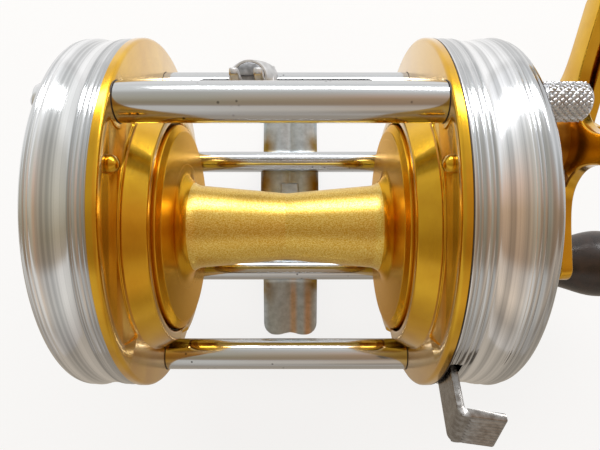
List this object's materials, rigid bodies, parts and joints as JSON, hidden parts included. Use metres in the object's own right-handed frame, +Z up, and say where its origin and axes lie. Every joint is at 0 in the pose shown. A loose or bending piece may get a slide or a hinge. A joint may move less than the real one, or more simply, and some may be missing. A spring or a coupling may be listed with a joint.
{
  "type": "baitcasting reel",
  "caption": "Round-frame baitcasting reel with a level-wind line guide, clutch lever, star drag and double handle on a flat foot.",
  "frame": {"origin": "middle of the underside of the reel foot", "axes": "+X along the spool axis towards the handle, +Y forward to the line guide, +Z up"},
  "size_m": [0.0981, 0.0707, 0.0585],
  "materials": {
    "gold_anodised": "polished gold anodised",
    "turned_aluminium": "bright turned",
    "polished_steel": "polished with fine pits",
    "brushed_foot_steel": "brushed lengthwise",
    "machine_steel": "machined",
    "bright_chrome": "mirror chrome",
    "die_cast": "cast",
    "brass": "cut brass",
    "bronze": "sintered",
    "dark_knob": "polished",
    "brake_plastic": "matt",
    "fibre": "pressed fibre"
  },
  "bodies": {
    "frame": {"left_frame_plate": "gold_anodised", "right_frame_plate": "gold_anodised", "front_crossbar": "polished_steel", "rear_crossbar": "polished_steel", "front_foot_pillar": "polished_steel", "rear_foot_pillar": "polished_steel", "reel_foot": "brushed_foot_steel", "foot_screws": "machine_steel", "plate_studs": "gold_anodised", "left_inner_plate": "die_cast", "right_inner_plate": "die_cast", "left_side_cover": "turned_aluminium", "right_side_cover": "turned_aluminium", "left_cover_screws": "bright_chrome", "takedown_thumb_screws": "bright_chrome", "left_spool_bush": "bronze", "right_spool_bush": "bronze", "brake_ring": "brass", "levelwind_tube": "polished_steel", "worm_bushes": "bronze", "drive_boss": "gold_anodised", "drive_inner_bush": "bronze", "drive_outer_bush": "bronze", "yoke_posts": "machine_steel", "yoke_springs": "machine_steel", "pawl_post": "machine_steel", "tension_shim": "brass"},
    "crank": {"drive_shaft": "machine_steel", "levelwind_gear": "brass", "ratchet_wheel": "machine_steel", "drive_gear": "brass", "friction_washer": "fibre", "pressure_washer": "machine_steel", "spring_washer": "machine_steel", "handle_plate": "gold_anodised", "handle_nut": "gold_anodised", "knob_pins": "machine_steel"},
    "star": {"star_drag": "gold_anodised"},
    "front_knob": {"front_handle_knob": "dark_knob"},
    "rear_knob": {"rear_handle_knob": "dark_knob"},
    "spool_rotor": {"spool": "gold_anodised", "spool_shaft": "machine_steel", "spool_cross_pin": "machine_steel", "brake_disc": "die_cast"},
    "brake_weight_upper": {"brake_block_upper": "brake_plastic"},
    "brake_weight_lower": {"brake_block_lower": "brake_plastic"},
    "worm_rotor": {"worm": "machine_steel", "worm_cog": "brass", "worm_clip": "machine_steel"},
    "line_guide": {"line_guide_carriage": "bright_chrome", "line_guide_prongs": "bright_chrome", "guide_pawl": "brass", "pawl_cap": "machine_steel"},
    "clutch": {"clutch_lever": "bright_chrome", "clutch_cam": "machine_steel"},
    "yoke_slider": {"yoke": "brass"},
    "pinion_rotor": {"pinion": "brass"},
    "ratchet_pawl": {"anti_reverse_pawl": "machine_steel"},
    "tension_knob": {"tension_cap": "bright_chrome"}
  },
  "joints": [
    {"name": "handle_turn", "type": "hinge", "parent": "frame", "child": "crank", "pos_m": [0.035, 0.01197, 0.0292], "axis": [1, 0, 0], "continuous": true},
    {"name": "star_turn", "type": "hinge", "parent": "crank", "child": "star", "pos_m": [0.045, 0.01197, 0.0292], "axis": [1, 0, 0], "range_deg": [-270, 270]},
    {"name": "front_knob_spin", "type": "hinge", "parent": "crank", "child": "front_knob", "pos_m": [0.057, 0.0336, 0.04271], "axis": [1, 0, 0], "continuous": true},
    {"name": "rear_knob_spin", "type": "hinge", "parent": "crank", "child": "rear_knob", "pos_m": [0.057, -0.00965, 0.01569], "axis": [1, 0, 0], "continuous": true},
    {"name": "spool_spin", "type": "hinge", "parent": "frame", "child": "spool_rotor", "pos_m": [0, -0.00224, 0.0315], "axis": [1, 0, 0], "continuous": true},
    {"name": "brake_slide_upper", "type": "slide", "parent": "spool_rotor", "child": "brake_weight_upper", "axis": [0, 0, 1], "range_m": [0, 0.002]},
    {"name": "brake_slide_lower", "type": "slide", "parent": "spool_rotor", "child": "brake_weight_lower", "axis": [0, 0, -1], "range_m": [0, 0.002]},
    {"name": "worm_spin", "type": "hinge", "parent": "frame", "child": "worm_rotor", "pos_m": [0, 0.02035, 0.031], "axis": [1, 0, 0], "continuous": true},
    {"name": "guide_slide", "type": "slide", "parent": "frame", "child": "line_guide", "axis": [1, 0, 0], "range_m": [-0.0074, 0.0176]},
    {"name": "clutch_press", "type": "hinge", "parent": "frame", "child": "clutch", "pos_m": [0.0222, -0.00224, 0.0315], "axis": [1, 0, 0], "range_deg": [0, 20]},
    {"name": "yoke_lift", "type": "slide", "parent": "frame", "child": "yoke_slider", "axis": [1, 0, 0], "range_m": [0, 0.0012]},
    {"name": "pinion_spin", "type": "hinge", "parent": "yoke_slider", "child": "pinion_rotor", "pos_m": [0.027, -0.00224, 0.0315], "axis": [1, 0, 0], "continuous": true},
    {"name": "anti_reverse", "type": "hinge", "parent": "frame", "child": "ratchet_pawl", "pos_m": [0.02645, 0.01024, 0.01935], "axis": [1, 0, 0], "range_deg": [-8, 0], "stiffness_Nm_per_rad": 0.002, "springref_deg": 2.86},
    {"name": "tension_turn", "type": "hinge", "parent": "frame", "child": "tension_knob", "pos_m": [0.035, -0.00224, 0.0315], "axis": [1, 0, 0], "range_deg": [-180, 180]}
  ],
  "couplings": [
    {"joint": "spool_spin", "follows": "handle_turn", "ratio": -5},
    {"joint": "pinion_spin", "follows": "handle_turn", "ratio": -5},
    {"joint": "worm_spin", "follows": "handle_turn", "ratio": -1.0476},
    {"joint": "yoke_lift", "follows": "clutch_press", "m_per_rad": 0.0034377}
  ]
}
